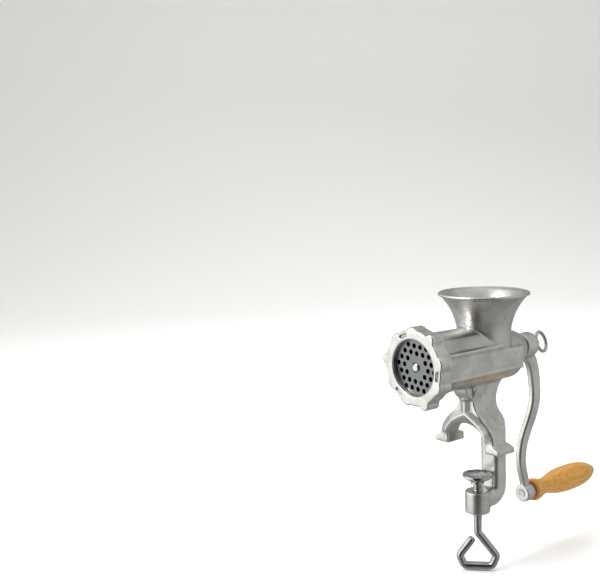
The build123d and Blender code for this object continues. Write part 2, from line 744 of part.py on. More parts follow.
# ---- crank arm ---------------------------------------------------------------------------------
arm_centre = [(crank_front_y + y, axis_height - drop) for y, drop in arm_top]
arm_centre += [(crank_front_y + y, axis_height - share * crank_throw) for y, share in arm_bends]
with BuildPart() as crank_arm:
    with BuildSketch(along(0)):
        front = arm_edge(arm_centre, (arm_width_top, arm_width_bottom), 1)
        rear = arm_edge(arm_centre, (arm_width_top, arm_width_bottom), -1)
        with BuildLine():
            Spline(*front)
            Line(front[-1], rear[-1])
            Spline(*rear)
            Line(rear[0], front[0])
        make_face()
    extrude(amount=arm_half_x, both=True)
    long_edges = crank_arm.edges().filter_by(GeomType.BSPLINE)
    fillet(long_edges, arm_edge_round)
    # boss on the worm's square tail, its rear rounded
    with BuildSketch(along()):
        with BuildLine():
            crown = EllipticalCenterArc(
                (crank_rear_y - crank_boss_crown, crank_boss_radius - crank_boss_crown_fall),
                crank_boss_crown,
                crank_boss_crown_fall,
                start_angle=0,
                arc_size=90,
            )
            Polyline(
                crown @ 0,
                (crank_rear_y, 0),
                (crank_front_y, 0),
                (crank_front_y, crank_boss_radius - crank_boss_bevel),
                (crank_front_y + crank_boss_bevel, crank_boss_radius),
                crown @ 1,
            )
        make_face()
    revolve(axis=barrel_axis)
    # boss of the grip
    with BuildSketch(across(grip_boss_face_y, grip_axis_z)):
        Circle(grip_boss_radius)
    extrude(amount=-grip_boss_depth)
    boss_edges = crank_arm.edges().filter_by(GeomType.CIRCLE).filter_by(
        lambda edge: abs(edge.radius - grip_boss_radius) < slip_gap
    )
    fillet(boss_edges.group_by(Axis.Y)[0], grip_boss_round)
    # square for the worm's tail, closed behind but for the ring screw's hole
    with BuildSketch(across(crank_front_y)):
        Rectangle(tail_square + 2 * slip_gap, tail_square + 2 * slip_gap)
    extrude(amount=-(tail_rear_y + face_gap - crank_front_y), mode=Mode.SUBTRACT)
    with BuildSketch(across(crank_front_y)):
        Circle(ring_shank_radius + running_gap)
    extrude(amount=-crank_boss_depth, mode=Mode.SUBTRACT)
    with BuildSketch(across(grip_boss_face_y, grip_axis_z)):
        Circle(grip_pin_radius)
    extrude(amount=-grip_boss_depth, mode=Mode.SUBTRACT)
save(crank_arm, "crank_arm")

# ---- ring screw: threaded shank and oval eye ---------------------------------------------------
collar_end_y = crank_rear_y + ring_collar
with BuildPart() as ring_screw:
    with BuildSketch(along()):
        with BuildLine():
            Polyline(
                (shank_end_y, 0),
                (shank_end_y, ring_shank_radius - ring_shank_bevel),
                (shank_end_y + ring_shank_bevel, ring_shank_radius),
                (crank_rear_y + ring_seat_gap, ring_shank_radius),
                (crank_rear_y + ring_seat_gap, ring_collar_radius),
                (collar_end_y, ring_collar_radius),
                (collar_end_y + ring_collar_bevel, ring_shank_radius),
                (collar_end_y + ring_neck + ring_neck_lap, ring_shank_radius - ring_shank_bevel),
                (collar_end_y + ring_neck + ring_neck_lap, 0),
                (shank_end_y, 0),
            )
        make_face()
    revolve(axis=barrel_axis)
    eye_y = collar_end_y + ring_neck + ring_half_y + ring_wire_radius
    lean = radians(ring_turn)
    eye_plane = Plane(
        origin=(0, eye_y, axis_height), x_dir=(0, 1, 0), z_dir=(cos(lean), 0, -sin(lean))
    )
    for half_turn in (90, 270):
        with BuildLine(eye_plane) as eye_path:
            EllipticalCenterArc(
                (0, 0),
                ring_half_y + ring_wire_radius,
                ring_half_z + ring_wire_radius,
                start_angle=half_turn,
                arc_size=180,
            )
        with BuildSketch(Plane(origin=eye_path.line @ 0, z_dir=eye_path.line % 0)):
            Circle(ring_wire_radius)
        sweep(path=eye_path.line)
save(ring_screw, "ring_screw")

# ---- grip washer -------------------------------------------------------------------------------
with BuildPart() as grip_washer:
    with BuildSketch(across(grip_boss_rear_y + face_gap, grip_axis_z)):
        Circle(grip_boss_radius - grip_boss_round)
        Circle(grip_pin_radius + running_gap, mode=Mode.SUBTRACT)
    extrude(amount=-washer_thickness)
save(grip_washer, "grip_washer")

# ---- wooden grip, turned -----------------------------------------------------------------------
grip_bore = grip_pin_radius + running_gap
with BuildPart() as grip:
    with BuildSketch(along(grip_axis_z)):
        with BuildLine():
            turned = Spline(
                (grip_front_y, grip_collar_radius - grip_collar_bevel),
                (grip_front_y + grip_collar_length, grip_collar_radius),
                (grip_front_y + grip_waist_share * grip_length, grip_waist_radius),
                (grip_front_y + grip_swell_share * grip_length, grip_swell_radius),
                (grip_front_y + grip_belly_share * grip_length, grip_belly_radius),
                *[(grip_rear_y - back, grip_tip_radius + more) for back, more in grip_tip_rounding],
            )
            Polyline(turned @ 0, (grip_front_y, 0), (grip_rear_y, 0), turned @ 1)
        make_face()
    revolve(axis=grip_axis)
    with BuildSketch(across(grip_front_y, grip_axis_z)):
        Circle(grip_bore)
    extrude(amount=-grip_length, mode=Mode.SUBTRACT)
save(grip, "grip")

# ---- grip pin, riveted in the arm --------------------------------------------------------------
pin_head_y = grip_rear_y + face_gap
with BuildPart() as grip_pin:
    with BuildSketch(along(grip_axis_z)):
        with BuildLine():
            Polyline(
                (grip_boss_face_y, 0),
                (grip_boss_face_y, grip_pin_radius),
                (pin_head_y, grip_pin_radius),
                (pin_head_y, grip_pin_head_radius),
                *[(pin_head_y + rise, grip_pin_head_radius - fall) for rise, fall in grip_pin_head],
                (pin_head_y + grip_pin_head[-1][0], 0),
                (grip_boss_face_y, 0),
            )
        make_face()
    revolve(axis=grip_axis)
save(grip_pin, "grip_pin")

# ---- clamp pad, a dished disc that swivels on the screw's tip ----------------------------------
pad_floor_z = pad_rim_z - pad_dish
pad_bottom_z = pad_floor_z - pad_sheet - pad_hub_height
with BuildPart() as clamp_pad:
    with BuildSketch(Plane.XZ):
        with BuildLine():
            upper = RadiusArc((pad_floor_radius, pad_floor_z), (pad_radius, pad_rim_z), -pad_curve)
            lower = RadiusArc(
                (pad_radius + pad_lip, pad_rim_z - pad_sheet),
                (pad_hub_radius, pad_floor_z - pad_sheet),
                pad_curve,
            )
            Line(upper @ 1, lower @ 0)
            Polyline(
                lower @ 1,
                (pad_hub_radius, pad_bottom_z),
                (0, pad_bottom_z),
                (0, pad_floor_z),
                upper @ 0,
            )
        make_face()
    revolve(axis=screw_axis)
    with BuildSketch(Plane.XY.offset(pad_bottom_z)):
        Circle(pad_neck_radius + running_gap)
    extrude(amount=pad_floor_z - pad_bottom_z, mode=Mode.SUBTRACT)
save(clamp_pad, "clamp_pad")

# ---- clamp screw with bent loop handle ---------------------------------------------------------
tip_radius = screw_radius - screw_tip_relief
screw_end_z = clamp_boss_bottom - screw_tail
loop_start_z = clamp_boss_bottom - loop_start
loop_plane = Plane(
    origin=(0, 0, 0),
    x_dir=(cos(radians(loop_turn)), sin(radians(loop_turn)), 0),
    z_dir=(sin(radians(loop_turn)), -cos(radians(loop_turn)), 0),
)
with BuildPart() as clamp_screw:
    with BuildSketch(Plane.XZ):
        with BuildLine():
            Polyline(
                (0, pad_floor_z + screw_tip_rise),
                (screw_tip_half, pad_floor_z + screw_tip_rise),
                (tip_radius, pad_floor_z + screw_tip_shoulder),
                (tip_radius, pad_floor_z + face_gap),
                (pad_neck_radius, pad_floor_z + face_gap),
                (pad_neck_radius, pad_bottom_z - face_gap),
                (screw_radius, pad_bottom_z - face_gap),
                (screw_radius, screw_end_z),
                (screw_radius - screw_tail_bevel, screw_end_z - screw_tail_bevel),
                (0, screw_end_z - screw_tail_bevel),
                (0, pad_floor_z + screw_tip_rise),
            )
        make_face()
    revolve(axis=screw_axis)
    with BuildLine(loop_plane) as loop_path:
        FilletPolyline(
            (0, loop_start_z),
            (0, loop_apex_z),
            (loop_shoulder_half, loop_shoulder_z),
            (loop_bottom_half, loop_bottom_z),
            (-loop_bottom_half, loop_bottom_z),
            (-loop_shoulder_half, loop_shoulder_z),
            (loop_end_x, loop_end_z),
            radius=(loop_apex_bend, *[loop_corner_bend] * 4),
        )
    with BuildSketch(Plane(origin=(0, 0, loop_start_z), z_dir=(0, 0, -1))):
        Circle(loop_wire_radius)
    sweep(path=loop_path.line)
save(clamp_screw, "clamp_screw")
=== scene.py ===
"""Looks of a table-clamped hand meat grinder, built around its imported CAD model.

Castings are taken from the CAD nodes and rounded as sand castings are. The clamp spindle, the wooden
grip and the finishes are made here. Lengths are in metres, in the CAD model's own frame.
"""

from math import cos, pi, radians, sin

import bmesh
import bpy
import numpy as np
from bpy.props import FloatProperty, FloatVectorProperty, IntProperty, PointerProperty
from mathutils import Matrix, Vector


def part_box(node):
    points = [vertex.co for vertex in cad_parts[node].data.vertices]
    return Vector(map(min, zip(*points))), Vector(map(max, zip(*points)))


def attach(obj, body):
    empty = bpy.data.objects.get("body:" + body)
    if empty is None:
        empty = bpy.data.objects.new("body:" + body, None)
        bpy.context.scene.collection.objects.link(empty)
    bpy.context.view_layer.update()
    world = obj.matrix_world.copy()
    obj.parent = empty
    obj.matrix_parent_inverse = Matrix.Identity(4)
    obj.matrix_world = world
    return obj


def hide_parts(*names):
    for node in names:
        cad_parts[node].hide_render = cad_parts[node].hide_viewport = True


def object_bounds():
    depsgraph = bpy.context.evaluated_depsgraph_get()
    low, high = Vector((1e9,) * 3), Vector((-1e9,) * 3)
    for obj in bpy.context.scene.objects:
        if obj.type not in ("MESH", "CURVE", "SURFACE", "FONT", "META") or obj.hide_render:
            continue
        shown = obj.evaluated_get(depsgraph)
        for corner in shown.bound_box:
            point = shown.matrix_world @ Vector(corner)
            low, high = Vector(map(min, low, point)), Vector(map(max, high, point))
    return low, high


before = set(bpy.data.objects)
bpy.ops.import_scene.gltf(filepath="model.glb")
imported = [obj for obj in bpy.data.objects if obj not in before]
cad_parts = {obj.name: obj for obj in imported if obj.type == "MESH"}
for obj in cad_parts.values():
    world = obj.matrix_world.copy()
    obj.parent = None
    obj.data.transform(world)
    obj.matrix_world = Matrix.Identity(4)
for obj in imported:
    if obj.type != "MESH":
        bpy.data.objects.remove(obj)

bl_info = {
    "name": "Hand Meat Grinder",
    "version": (1, 0, 0),
    "blender": (4, 5, 0),
    "location": "3D View > Sidebar > Grinder",
    "description": "Builds the castings, steel parts and wooden grip of a hand meat grinder",
    "category": "Object",
}

MM = 0.001
CAD_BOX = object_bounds()


# ---- sizes and colours -------------------------------------------------------------------------
def length(name, description, default):
    """A length property, its default given in millimetres."""
    return FloatProperty(
        name=name, description=description, default=default * MM, unit="LENGTH", precision=5
    )


def colour(name, description, default):
    """A linear colour property."""
    return FloatVectorProperty(
        name=name, description=description, default=default, subtype="COLOR", size=3, min=0.0, max=1.0
    )


class GrinderSizes(bpy.types.PropertyGroup):
    """Sizes of what the CAD model leaves plain."""

    casting_grain: length("Casting grain", "Voxel of the large casting's surface", 0.95)
    fine_grain: length("Fine grain", "Voxel of the crank's and the nut's surface", 0.62)
    casting_rounds: IntProperty(name="Casting rounds", description="Smoothing passes", default=5, min=0)
    leg_ridge: length("Leg ridge", "Height of the roof-shaped ridge on the legs' front", 3.8)
    leg_ridge_half: length("Leg ridge half width", "Reach of the ridge's slopes", 6.0)
    leg_ridge_depth: length("Leg ridge depth", "How far behind the front the ridge fades out", 6.0)
    thread_pitch: length("Thread pitch", "Pitch of the clamp spindle", 1.25)
    thread_depth: length("Thread depth", "Depth of the clamp spindle's thread", 0.6)
    spindle_radius: length("Spindle radius", "Outside radius of the clamp spindle", 4.0)
    spindle_neck: length("Spindle neck", "Radius of the neck that carries the pad", 2.4)
    spindle_tip: length("Spindle tip", "Radius of the riveted tip at its top", 1.4)
    spindle_tip_flare: length("Spindle tip flare", "Growth of the riveted tip below its top", 2.2)
    loop_wire: length("Loop wire", "Radius of the bent loop's rod", 3.5)
    loop_turn: FloatProperty(
        name="Loop turn",
        description="Plane of the loop about the spindle",
        default=radians(44),
        subtype="ANGLE",
    )
    grip_bore: length("Grip bore", "Radius of the hole for the grip's pin", 3.06)
    grip_groove: length("Grip groove", "Depth of the turned groove behind the collar", 0.35)


class GrinderFinish(bpy.types.PropertyGroup):
    """Colours of the finishes."""

    # Brighter patches at random, and also the painted highlight on the castings' sharp edges
    tin_bright_and_highlight: colour("Tin, bright", "Rubbed faces and edges of the tinned castings", (0.80, 0.79, 0.765))
    tin_body: colour("Tin, body", "Most of the tinned castings", (0.61, 0.605, 0.58))
    # Painted shade: this colour is painted into the hollows of the tinned castings
    tin_painted_shade: colour("Tin, dull", "Hollows of the tinned castings", (0.24, 0.25, 0.24))
    plate_light: colour("Plate, light", "Ground face of the perforated plate", (0.31, 0.325, 0.33))
    plate_dark: colour("Plate, dark", "Grinding marks of the perforated plate", (0.20, 0.21, 0.215))
    # Painted shade: near-black colour painted on the walls of the plate's holes
    plate_hole_shade: colour("Plate, drilled walls", "Unlit walls of the plate's holes", (0.012, 0.013, 0.014))
    steel_light: colour("Steel, light", "Bright steel parts", (0.60, 0.61, 0.605))
    # Dark steel of the drawn lines, and also painted into the steel parts' hollows as shade
    steel_dark_and_shade: colour("Steel, dark", "Hollows and drawn lines of the steel parts", (0.26, 0.28, 0.28))
    bronze_light: colour("Bronze, light", "Rubbed bronze", (0.42, 0.32, 0.21))
    bronze_dark: colour("Bronze, dark", "Tarnished bronze", (0.17, 0.13, 0.095))
    wood_light: colour("Wood, light", "Early wood of the grip", (0.66, 0.35, 0.080))
    wood_body: colour("Wood, body", "Varnished wood of the grip", (0.52, 0.24, 0.042))
    wood_dark: colour("Wood, dark", "Pores and end grain of the grip", (0.24, 0.085, 0.014))
    floor: colour("Floor", "Plain floor", (0.97, 0.97, 0.965))
    floor_cloud: colour("Floor, cloud", "Faint clouds of the floor", (0.97, 0.97, 0.965))


# ---- shader building ---------------------------------------------------------------------------
class Signal:
    """A node socket. Arithmetic on it adds the Math nodes for the expression."""

    def __init__(self, graph, socket):
        self.graph = graph
        self.socket = socket

    def maths(self, operation, *values):
        """One Math node with this operation."""
        inputs = dict(enumerate(values))
        return self.graph.node("ShaderNodeMath", {"operation": operation}, inputs)

    def __add__(self, other):
        return self.maths("ADD", self, other)

    def __mul__(self, other):
        return self.maths("MULTIPLY", self, other)

    def __sub__(self, other):
        return self.maths("SUBTRACT", self, other)

    def __rsub__(self, other):
        return self.maths("SUBTRACT", other, self)

    def __pow__(self, other):
        return self.maths("POWER", self, other)

    def clamped(self):
        """The signal held between 0 and 1."""
        return self.maths("MINIMUM", self.maths("MAXIMUM", self, 0.0), 1.0)

    def sine(self):
        """The sine of the signal."""
        return self.maths("SINE", self)

    __radd__ = __add__
    __rmul__ = __mul__


class Graph:
    """A shader node tree under construction."""

    def __init__(self, owner):
        owner.use_nodes = True
        self.tree = owner.node_tree
        self.tree.nodes.clear()

    def node(self, kind, settings=None, inputs=None, output=0):
        """Adds a node: its settings first, then the values or links of its sockets."""
        node = self.tree.nodes.new(kind)
        for key, value in (settings or {}).items():
            if key == "stops":
                self.fill_ramp(node.color_ramp, value)
            else:
                setattr(node, key, value)
        for key, value in (inputs or {}).items():
            if isinstance(value, Signal):
                self.tree.links.new(value.socket, node.inputs[key])
            else:
                node.inputs[key].default_value = value
        return Signal(self, node.outputs[output])

    def fill_ramp(self, ramp, stops):
        """Sets a ramp's stops, each a place and a grey level or a colour."""
        while len(ramp.elements) > 1:
            ramp.elements.remove(ramp.elements[-1])
        for i, (where, level) in enumerate(stops):
            stop = ramp.elements.new(where) if i else ramp.elements[0]
            stop.position = where
            stop.color = (*level, 1) if isinstance(level, tuple) else (level, level, level, 1)

    def steps(self, signal, *stops):
        """A ramp over a signal."""
        return self.node("ShaderNodeValToRGB", {"stops": stops}, {"Fac": signal})

    def blend(self, factor, low, high):
        """A mix of two colours."""
        values = {0: factor, 6: solid(low), 7: solid(high)}
        return self.node("ShaderNodeMix", {"data_type": "RGBA"}, values, output=2)

    def end(self, kind, shader):
        """Links the shader to the tree's output."""
        self.tree.links.new(shader.socket, self.tree.nodes.new(kind).inputs["Surface"])


class Finish(Graph):
    """A material under construction."""

    def __init__(self, name):
        self.material = bpy.data.materials.new(name)
        super().__init__(self.material)

    def places(self, stretch=(1, 1, 1)):
        """Object coordinates, stretched."""
        return self.shifted({"Scale": stretch})

    def shifted(self, values):
        """Object coordinates through a Mapping node with these values."""
        return self.node("ShaderNodeMapping", {}, {"Vector": self.here(), **values})

    def here(self):
        """Plain object coordinates."""
        return self.node("ShaderNodeTexCoord", output=3)

    def noise(self, places, scale, detail=2.0, roughness=0.5):
        """A grey noise of this many cells a metre."""
        values = {"Vector": places, "Scale": scale, "Detail": detail, "Roughness": roughness}
        return self.node("ShaderNodeTexNoise", {"noise_dimensions": "3D"}, values)

    def painted_shade_and_highlight(self, tone, low, high, dull, bright):
        """Paints shade and highlight: darkens hollows as painted shade and brightens sharp edges as a
        painted highlight, by how sharply the surface bends there.
        """
        bend = self.node("ShaderNodeNewGeometry", output=7)
        edge = self.steps(bend, (low, 0.0), (0.5, 0.5), (high, 1.0))
        # painted shade: hollows are darkened towards the dull colour
        tone = self.blend((edge * -2.0 + 1.0).clamped() * dull[0], tone, dull[1])
        # painted highlight: sharp edges are brightened towards the bright colour
        return self.blend((edge * 2.0 - 1.0).clamped() * bright[0], tone, bright[1])

    def relief(self, height, distance, strength):
        """A Bump node over a height signal."""
        values = {"Height": height, "Distance": distance, "Strength": strength}
        return self.node("ShaderNodeBump", {}, values)

    def close(self, **sockets):
        """Ends the material in a Principled BSDF. A socket's underscores stand for spaces."""
        values = {key.replace("_", " "): value for key, value in sockets.items()}
        shader = self.node("ShaderNodeBsdfPrincipled", {}, values)
        self.end("ShaderNodeOutputMaterial", shader)
        return self.material


def solid(value):
    """A colour socket's value: a signal as it is, three numbers with an alpha of one."""
    return value if isinstance(value, Signal) else (*value, 1.0)


def finish_of():
    """The scene's finish colours."""
    return bpy.context.scene.grinder_finish


def sizes_of():
    """The scene's sizes."""
    return bpy.context.scene.grinder_sizes


def ready(name, make):
    """The material of this name, made the first time it is asked for."""
    return bpy.data.materials.get(name) or make(name)


def tinned_iron(name):
    """Hot-tinned sand casting: satin, faintly pebbled, brighter in patches, with painted shade in its
    hollows and a painted highlight on its sharp edges.
    """
    tones = finish_of()
    finish = Finish(name)
    places = finish.places()
    cloud = finish.noise(places, 55.0, 4.0, 0.6)
    pebble = finish.noise(places, 620.0, 3.0, 0.6)
    wipe = finish.noise(finish.places((1.0, 0.25, 1.0)), 240.0)
    tone = finish.blend(finish.steps(cloud, (0.36, 0.0), (0.62, 1.0)), tones.tin_body, tones.tin_bright_and_highlight)
    # painted shade in the hollows and a painted highlight on the sharp edges
    tone = finish.painted_shade_and_highlight(tone, 0.44, 0.56, (0.75, tones.tin_painted_shade), (0.7, tones.tin_bright_and_highlight))
    rough = (cloud * 0.12 + pebble * 0.1 + wipe * 0.08 + 0.145).clamped()
    bump = finish.relief(pebble * 0.7 + wipe * 0.3, 0.00020, 0.5)
    return finish.close(Base_Color=tone, Metallic=1.0, Roughness=rough, Normal=bump)


def machined_tin(name):
    """Turned and tinned face: whiter, with fine concentric tool marks."""
    tones = finish_of()
    finish = Finish(name)
    places = finish.places()
    cloud = finish.noise(places, 90.0, 3.0, 0.55)
    pebble = finish.noise(places, 900.0, 2.0, 0.55)
    marks = finish.noise(finish.places((1.0, 6.0, 1.0)), 420.0)
    tone = finish.blend(finish.steps(cloud, (0.3, 0.0), (0.6, 1.0)), tones.tin_body, tones.tin_bright_and_highlight)
    # painted shade in the hollows and a painted highlight on the sharp edges
    tone = finish.painted_shade_and_highlight(tone, 0.45, 0.55, (0.8, tones.tin_painted_shade), (0.8, tones.tin_bright_and_highlight))
    rough = (cloud * 0.12 + marks * 0.1 + 0.17).clamped()
    bump = finish.relief(pebble * 0.6 + marks * 0.4, 0.00012, 0.5)
    return finish.close(Base_Color=tone, Metallic=1.0, Roughness=rough, Normal=bump)


def ground_plate(name):
    """Surface-ground steel with one-way grinding lines, and the holes' walls painted near black as shade.
    """
    tones = finish_of()
    finish = Finish(name)
    grinding = {"Scale": (30.0, 1.0, 1.0), "Rotation": (0.0, radians(28), 0.0)}
    lines = finish.noise(finish.shifted(grinding), 120.0, 3.0, 0.7)
    cloud = finish.noise(finish.places(), 110.0, 3.0)
    marks = finish.steps(lines * 0.7 + cloud * 0.3, (0.35, 0.0), (0.65, 1.0))
    facing = finish.node("ShaderNodeTexCoord", output=1)
    facing = finish.node("ShaderNodeSeparateXYZ", {}, {0: facing}, output=1)
    # painted shade: surfaces facing sideways, the holes' walls, get the near-black colour
    walls = finish.steps(facing * facing, (0.3, 1.0), (0.7, 0.0))
    tone = finish.blend(walls, finish.blend(marks, tones.plate_dark, tones.plate_light), tones.plate_hole_shade)
    rough = (lines * 0.2 + cloud * 0.1 + 0.26).clamped()
    bump = finish.relief(lines, 0.00006, 0.5)
    return finish.close(Base_Color=tone, Metallic=1.0, Roughness=rough, Normal=bump)


def bright_steel(name):
    """Drawn, plated rod: bright, with faint lines along it and painted shade in its hollows."""
    tones = finish_of()
    finish = Finish(name)
    cloud = finish.noise(finish.places(), 160.0, 3.0, 0.6)
    drawn = finish.noise(finish.places((1.0, 1.0, 0.08)), 900.0)
    edge = finish.steps(finish.node("ShaderNodeNewGeometry", output=7), (0.42, 0.0), (0.5, 1.0))
    shine = finish.steps(cloud * 0.6 + drawn * 0.4, (0.3, 0.35), (0.55, 1.0))
    tone = finish.blend(shine, tones.steel_dark_and_shade, tones.steel_light)
    # painted shade: hollows, where the surface bends inward, are darkened towards dark steel
    tone = finish.blend((1.0 - edge) * 0.8, tone, tones.steel_dark_and_shade)
    rough = (cloud * 0.12 + drawn * 0.08 + 0.05).clamped()
    bump = finish.relief(drawn, 0.00005, 0.4)
    return finish.close(Base_Color=tone, Metallic=1.0, Roughness=rough, Normal=bump)


def dull_bronze(name):
    """Cast bush, tarnished brown, rubbed brighter in random patches."""
    tones = finish_of()
    finish = Finish(name)
    cloud = finish.noise(finish.places(), 260.0, 3.0, 0.6)
    marks = finish.noise(finish.places((1.0, 8.0, 1.0)), 500.0)
    rubbed = finish.steps(cloud, (0.35, 0.0), (0.65, 1.0))
    tone = finish.blend(rubbed, tones.bronze_dark, tones.bronze_light)
    rough = (cloud * 0.2 + marks * 0.1 + 0.3).clamped()
    bump = finish.relief(marks * 0.6 + cloud * 0.4, 0.00008, 0.5)
    return finish.close(Base_Color=tone, Metallic=1.0, Roughness=rough, Normal=bump)


HEART = (21.0 * MM, 13.0 * MM)  # the tree's heart beside the grip's axis
END_GRAIN = (4.2 * MM, 3.0 * MM)  # reach of the darker front and rear ends


def varnished_beech(name):
    """Turned beech under clear varnish, the grain along the grip and its ends darker."""
    tones = finish_of()
    finish = Finish(name)
    low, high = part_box("grip")
    heart = (HEART[0] - (low.x + high.x) / 2, 0.0, HEART[1] - (low.z + high.z) / 2)
    sway = finish.noise(finish.places((1.0, 0.07, 1.0)), 90.0)
    off_heart = finish.shifted({"Location": heart, "Scale": (1.0, 0.10, 1.0)})
    reach = finish.node("ShaderNodeVectorMath", {"operation": "LENGTH"}, {0: off_heart}, output=1)
    rings = (reach * 3600.0 + sway * 9.0).sine() * 0.5 + 0.5
    pores = finish.noise(finish.places((1.0, 0.035, 1.0)), 1500.0, 2.0, 0.6)
    fleck = finish.noise(finish.places((1.0, 0.12, 1.0)), 330.0, 3.0, 0.6)
    grain = finish.steps(rings * 0.2 + fleck * 0.8, (0.25, 0.0), (0.70, 1.0))
    tone = finish.blend(grain, tones.wood_body, tones.wood_light)
    tone = finish.blend(finish.steps(pores, (0.30, 0.75), (0.43, 0.0)), tone, tones.wood_dark)
    axial = finish.node("ShaderNodeSeparateXYZ", {}, {0: finish.here()}, output=1)
    front = (1.0 - (axial - low.y) * (1.0 / END_GRAIN[0])).clamped()
    back = (1.0 - (high.y - axial) * (1.0 / END_GRAIN[1])).clamped()
    ends = (front**1.5) * 0.55 + (back**1.5) * 0.45
    tone = finish.blend(ends.clamped(), tone, tones.wood_dark)
    rough = (fleck * 0.15 + pores * 0.1 + 0.28).clamped()
    bump = finish.relief(finish.steps(pores, (0.3, 0.0), (0.45, 1.0)), 0.00010, 0.4)
    varnish = {"Specular_IOR_Level": 0.3, "Coat_Weight": 0.3, "Coat_Roughness": 0.12}
    return finish.close(Base_Color=tone, Roughness=rough, Normal=bump, **varnish)


def pale_floor(name):
    """Plain matt floor."""
    tones = finish_of()
    finish = Finish(name)
    cloud = finish.noise(finish.places(), 3.0)
    tone = finish.blend(cloud * 0.15, tones.floor, tones.floor_cloud)
    return finish.close(Base_Color=tone, Roughness=0.85, Specular_IOR_Level=0.2)


# ---- mesh helpers ------------------------------------------------------------------------------
def place(name, mesh, body, slot, material, *nodes):
    """A finished piece: its material, its body and the CAD nodes it stands for. The slot is not used."""
    piece = bpy.data.objects.new(name, mesh)
    bpy.context.scene.collection.objects.link(piece)
    mesh.materials.clear()
    mesh.materials.append(material)
    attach(piece, body)
    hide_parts(*nodes)


def dress(nodes, material):
    """Gives CAD nodes that keep their own shape a finished material."""
    for node in nodes:
        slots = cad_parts[node].data.materials
        slots.clear()
        slots.append(material)


def cast_mesh(node, grain, rounds):
    """A copy of a CAD node's mesh, resurfaced in fine cells and rounded as a casting is."""
    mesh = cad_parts[node].data.copy()
    mesh.name = node + "_cast"
    weld = bmesh.new()
    weld.from_mesh(mesh)
    bmesh.ops.remove_doubles(weld, verts=weld.verts, dist=1e-6)
    weld.to_mesh(mesh)
    weld.free()
    carrier = bpy.data.objects.new(node + "_carrier", mesh)
    bpy.context.scene.collection.objects.link(carrier)
    resurface = carrier.modifiers.new("resurface", "REMESH")
    resurface.mode = "VOXEL"
    resurface.voxel_size = grain
    resurface.use_smooth_shade = True
    if rounds:
        soften = carrier.modifiers.new("soften", "SMOOTH")
        soften.factor = 0.5
        soften.iterations = rounds
    bpy.context.view_layer.update()
    made = bpy.data.meshes.new_from_object(carrier.evaluated_get(bpy.context.evaluated_depsgraph_get()))
    bpy.data.objects.remove(carrier)
    made.name = node + "_surface"
    return made


def points_of(mesh):
    """A mesh's vertices as an array."""
    points = np.zeros(len(mesh.vertices) * 3)
    mesh.vertices.foreach_get("co", points)
    return points.reshape(-1, 3)


def put_points(mesh, points):
    """Writes an array back to a mesh's vertices."""
    mesh.vertices.foreach_set("co", points.reshape(-1))
    mesh.update()


def swept_mesh(name, path, radii, sides):
    """A round bar along a path. radii holds, for each ring, the radius at each of its sides."""
    path = np.array(path, float)
    tangents = np.gradient(path, axis=0)
    tangents /= np.linalg.norm(tangents, axis=1)[:, None]
    across = np.array((1.0, 0.0, 0.0))
    turns = np.arange(sides) * 2 * pi / sides
    rows = []
    for centre, tangent, radius in zip(path, tangents, radii):
        across = across - tangent * across.dot(tangent)
        across /= np.linalg.norm(across)
        other = np.cross(tangent, across)
        ring = np.outer(np.cos(turns), across) + np.outer(np.sin(turns), other)
        rows.append(centre + ring * np.reshape(radius, (-1, 1)))
    count = len(path)
    points = np.concatenate(rows + [path[:1], path[-1:]])
    faces = []
    for i in range(count - 1):
        for j in range(sides):
            k = (j + 1) % sides
            faces.append((i * sides + j, i * sides + k, (i + 1) * sides + k, (i + 1) * sides + j))
    first, last = count * sides, count * sides + 1
    for j in range(sides):
        k = (j + 1) % sides
        faces.append((k, j, first))
        faces.append(((count - 1) * sides + j, (count - 1) * sides + k, last))
    mesh = bpy.data.meshes.new(name)
    mesh.from_pydata([tuple(p) for p in points], [], faces)
    mesh.shade_smooth()
    mesh.update()
    return mesh


def rounded_path(corners, bend, step):
    """A run through corners, each rounded with its bend radius and cut in even steps."""
    corners = [Vector(c) for c in corners]
    points = [corners[0]]
    for before, corner, after, radius in zip(corners, corners[1:], corners[2:], bend):
        back = (before - corner).normalized()
        on = (after - corner).normalized()
        half = back.angle(on) / 2
        centre = corner + (back + on).normalized() * (radius / sin(half))
        setback = radius * cos(half) / sin(half)
        arms = [(corner + way * setback - centre).normalized() for way in (back, on)]
        turn = arms[0].angle(arms[1])
        cuts = max(2, int(turn * radius / step))
        for i in range(cuts + 1):
            share = i / cuts
            arm = (arms[0] * sin((1 - share) * turn) + arms[1] * sin(share * turn)) / sin(turn)
            points.append(centre + arm * radius)
    points.append(corners[-1])
    even = [points[0]]
    for a, b in zip(points, points[1:]):
        cuts = max(1, int((b - a).length / step))
        even += [a.lerp(b, (i + 1) / cuts) for i in range(cuts)]
    return even


